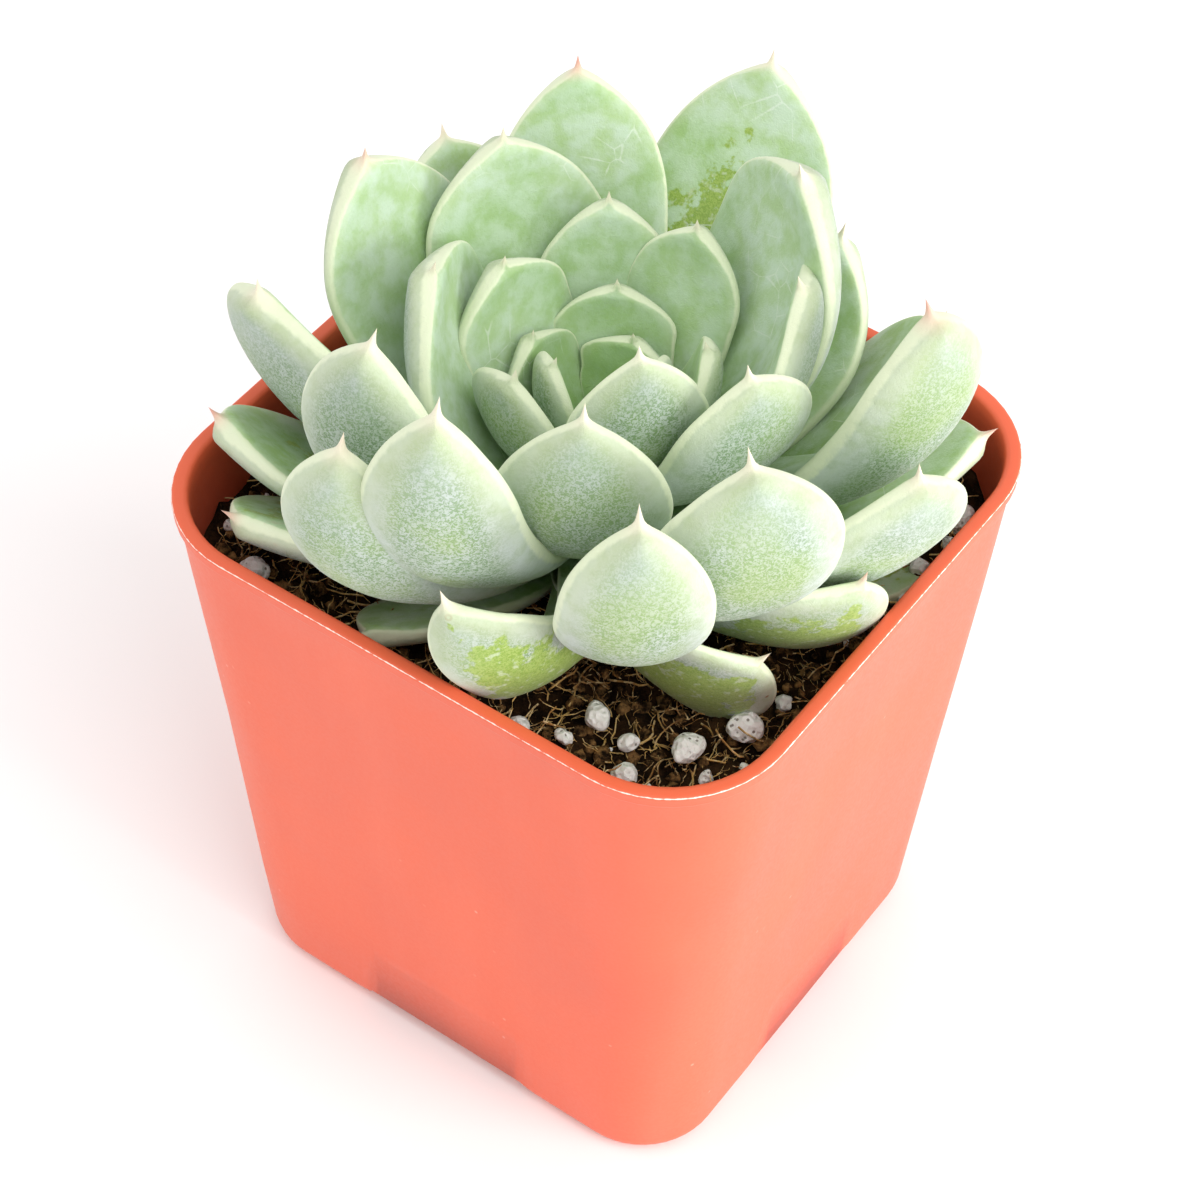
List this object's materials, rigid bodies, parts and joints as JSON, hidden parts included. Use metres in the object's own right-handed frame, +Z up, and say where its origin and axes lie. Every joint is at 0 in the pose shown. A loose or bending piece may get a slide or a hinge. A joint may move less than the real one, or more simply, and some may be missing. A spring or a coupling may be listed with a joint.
{
  "type": "potted succulent",
  "caption": "Rosette succulent with thick pale leaves growing in dark potting mix, in a small tapered square plastic nursery pot.",
  "frame": {"origin": "middle of the pot's footprint, on the surface it stands on", "axes": "+Z up through the rosette, +X and +Y square to the pot's sides, X along its wider side"},
  "size_m": [0.057, 0.0534, 0.0844],
  "materials": {
    "pot_plastic": "satin moulded plastic, salmon terracotta",
    "peat": "damp peat mix with brown fibres, rough",
    "perlite": "porous white, rough",
    "stem": "green woody stem, rough",
    "leaf": "living leaf with a pale waxy bloom, matte"
  },
  "bodies": {
    "root": {"leaf_01": "leaf", "leaf_02": "leaf", "leaf_03": "leaf", "leaf_04": "leaf", "leaf_05": "leaf", "leaf_06": "leaf", "leaf_07": "leaf", "leaf_08": "leaf", "leaf_09": "leaf", "leaf_10": "leaf", "leaf_11": "leaf", "leaf_12": "leaf", "leaf_13": "leaf", "leaf_14": "leaf", "leaf_15": "leaf", "leaf_16": "leaf", "leaf_17": "leaf", "leaf_18": "leaf", "leaf_19": "leaf", "leaf_20": "leaf", "leaf_21": "leaf", "leaf_22": "leaf", "leaf_23": "leaf", "leaf_24": "leaf", "leaf_25": "leaf", "leaf_26": "leaf", "leaf_27": "leaf", "leaf_28": "leaf", "leaf_29": "leaf", "leaf_30": "leaf", "leaf_31": "leaf", "leaf_32": "leaf", "leaf_33": "leaf", "leaf_34": "leaf", "leaf_35": "leaf", "leaf_36": "leaf", "leaf_37": "leaf", "leaf_38": "leaf", "leaf_39": "leaf", "leaf_40": "leaf", "leaf_41": "leaf", "pot": "pot_plastic", "stem": "stem", "soil": "peat", "perlite_1": "perlite", "perlite_2": "perlite", "perlite_3": "perlite", "perlite_4": "perlite", "perlite_5": "perlite", "perlite_6": "perlite", "perlite_7": "perlite", "perlite_8": "perlite", "perlite_9": "perlite"}
  },
  "joints": []
}
